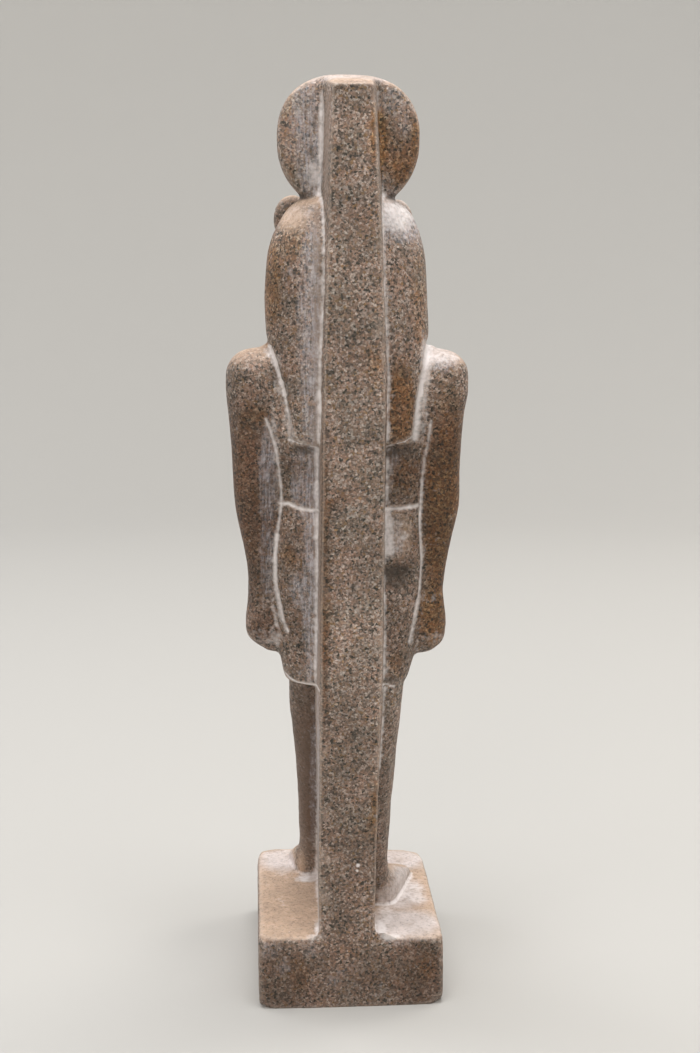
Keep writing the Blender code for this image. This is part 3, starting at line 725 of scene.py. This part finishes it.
# The studio: a round bowl of pale matt plaster that is floor and wall in one, with no seam behind the statue.
# Its floor runs up into the wall in a quarter circle, and the line is spun round.
FLOOR_RADIUS, WALL, CURVE = 1.9, 2.0, 0.8
CURVE_STEPS, ROUND_STEPS = 12, 96
bpy.ops.object.select_all(action="DESELECT")
profile = [(0.0, 0.0), (FLOOR_RADIUS - CURVE, 0.0)]
for step in range(1, CURVE_STEPS + 1):
    turn = math.radians(90 / CURVE_STEPS * step)
    profile.append((FLOOR_RADIUS - CURVE + CURVE * math.sin(turn), CURVE * (1 - math.cos(turn))))
profile.append((FLOOR_RADIUS, WALL))
line = bpy.data.meshes.new("studio_bowl")
line.from_pydata([(x, 0.0, z) for x, z in profile], [(i, i + 1) for i in range(len(profile) - 1)], [])
bowl = bpy.data.objects.new("studio_bowl", line)
bpy.context.scene.collection.objects.link(bowl)
work(
    bowl,
    "SCREW",
    steps=ROUND_STEPS,
    render_steps=ROUND_STEPS,
    axis="Z",
    use_merge_vertices=True,
    merge_threshold=0.0001,
)
bowl.data.shade_smooth()
plaster = bpy.data.materials.new("matt plaster")
plaster.use_nodes = True
plaster.node_tree.nodes["Principled BSDF"].inputs["Base Color"].default_value = colour("#B6B4B0")
plaster.node_tree.nodes["Principled BSDF"].inputs["Roughness"].default_value = 0.9
bowl.data.materials.append(plaster)

# Soft light: a wide softbox overhead, one on each side beyond the statue, and a weak one behind the camera.
# Four lamps that face away from the statue keep the wall as pale as the floor.
MIDDLE = Vector((0.0, 0.0, 0.2))
WALL_LAMP_RADIUS, WALL_LAMP_HEIGHT, WALL_AIM_HEIGHT = 0.9, 1.7, 0.5


def softbox(name, stand, aim, size, power, tint="#FFFFFF"):
    """A square soft lamp at a place, aimed at another."""
    lamp = bpy.data.lights.new(name, "AREA")
    lamp.shape = "SQUARE"
    lamp.size = size
    lamp.energy = power
    lamp.color = colour(tint)[:3]
    light = bpy.data.objects.new(name, lamp)
    light.location = stand
    light.rotation_euler = (Vector(aim) - light.location).to_track_quat("-Z", "Y").to_euler()
    light.visible_camera = False
    bpy.context.scene.collection.objects.link(light)


softbox("overhead softbox", (0.0, 0.15, 2.0), MIDDLE, 1.0, 40.0)
softbox("right softbox", (-1.25, -0.6, 0.8), MIDDLE, 0.6, 6.0, "#FFF9F2")
softbox("left softbox", (1.25, -0.6, 0.8), MIDDLE, 0.6, 4.0, "#F6F8FF")
softbox("front softbox", (0.35, 1.2, 1.25), MIDDLE, 0.6, 3.5, "#FFF8F0")
for quarter in range(4):
    turn = math.radians(45 + 90 * quarter)
    out = Vector((math.cos(turn), math.sin(turn), 0.0))
    stand = out * WALL_LAMP_RADIUS + Vector((0.0, 0.0, WALL_LAMP_HEIGHT))
    aim = out * FLOOR_RADIUS + Vector((0.0, 0.0, WALL_AIM_HEIGHT))
    softbox("wall lamp %d" % (quarter + 1), stand, aim, 0.5, 5.0)
world = bpy.data.worlds.new("pale room")
world.use_nodes = True
world.node_tree.nodes["Background"].inputs["Color"].default_value = colour("#D8DADC")
world.node_tree.nodes["Background"].inputs["Strength"].default_value = 0.08
bpy.context.scene.world = world
bpy.context.scene.view_settings.view_transform = "Standard"

# The camera stands behind her left shoulder, a little lower than her sun disk, and looks down on the pillar.
# Its lens is 1500 times as long as one dot of a picture that is 1053 dots tall.
FILM = 36.0
LENS = FILM * 1500 / 1053
STAND = (0.0388, 0.609 + cad_high.y, 0.3371)
YAW, PITCH = math.radians(3.6), math.radians(11.16)
camera = bpy.data.objects.new("camera", bpy.data.cameras.new("camera"))
camera.data.lens = LENS
camera.data.sensor_width = FILM
camera.location = STAND
look = Vector((-math.sin(YAW) * math.cos(PITCH), -math.cos(YAW) * math.cos(PITCH), -math.sin(PITCH)))
camera.rotation_euler = look.to_track_quat("-Z", "Y").to_euler()
bpy.context.scene.collection.objects.link(camera)
bpy.context.scene.camera = camera
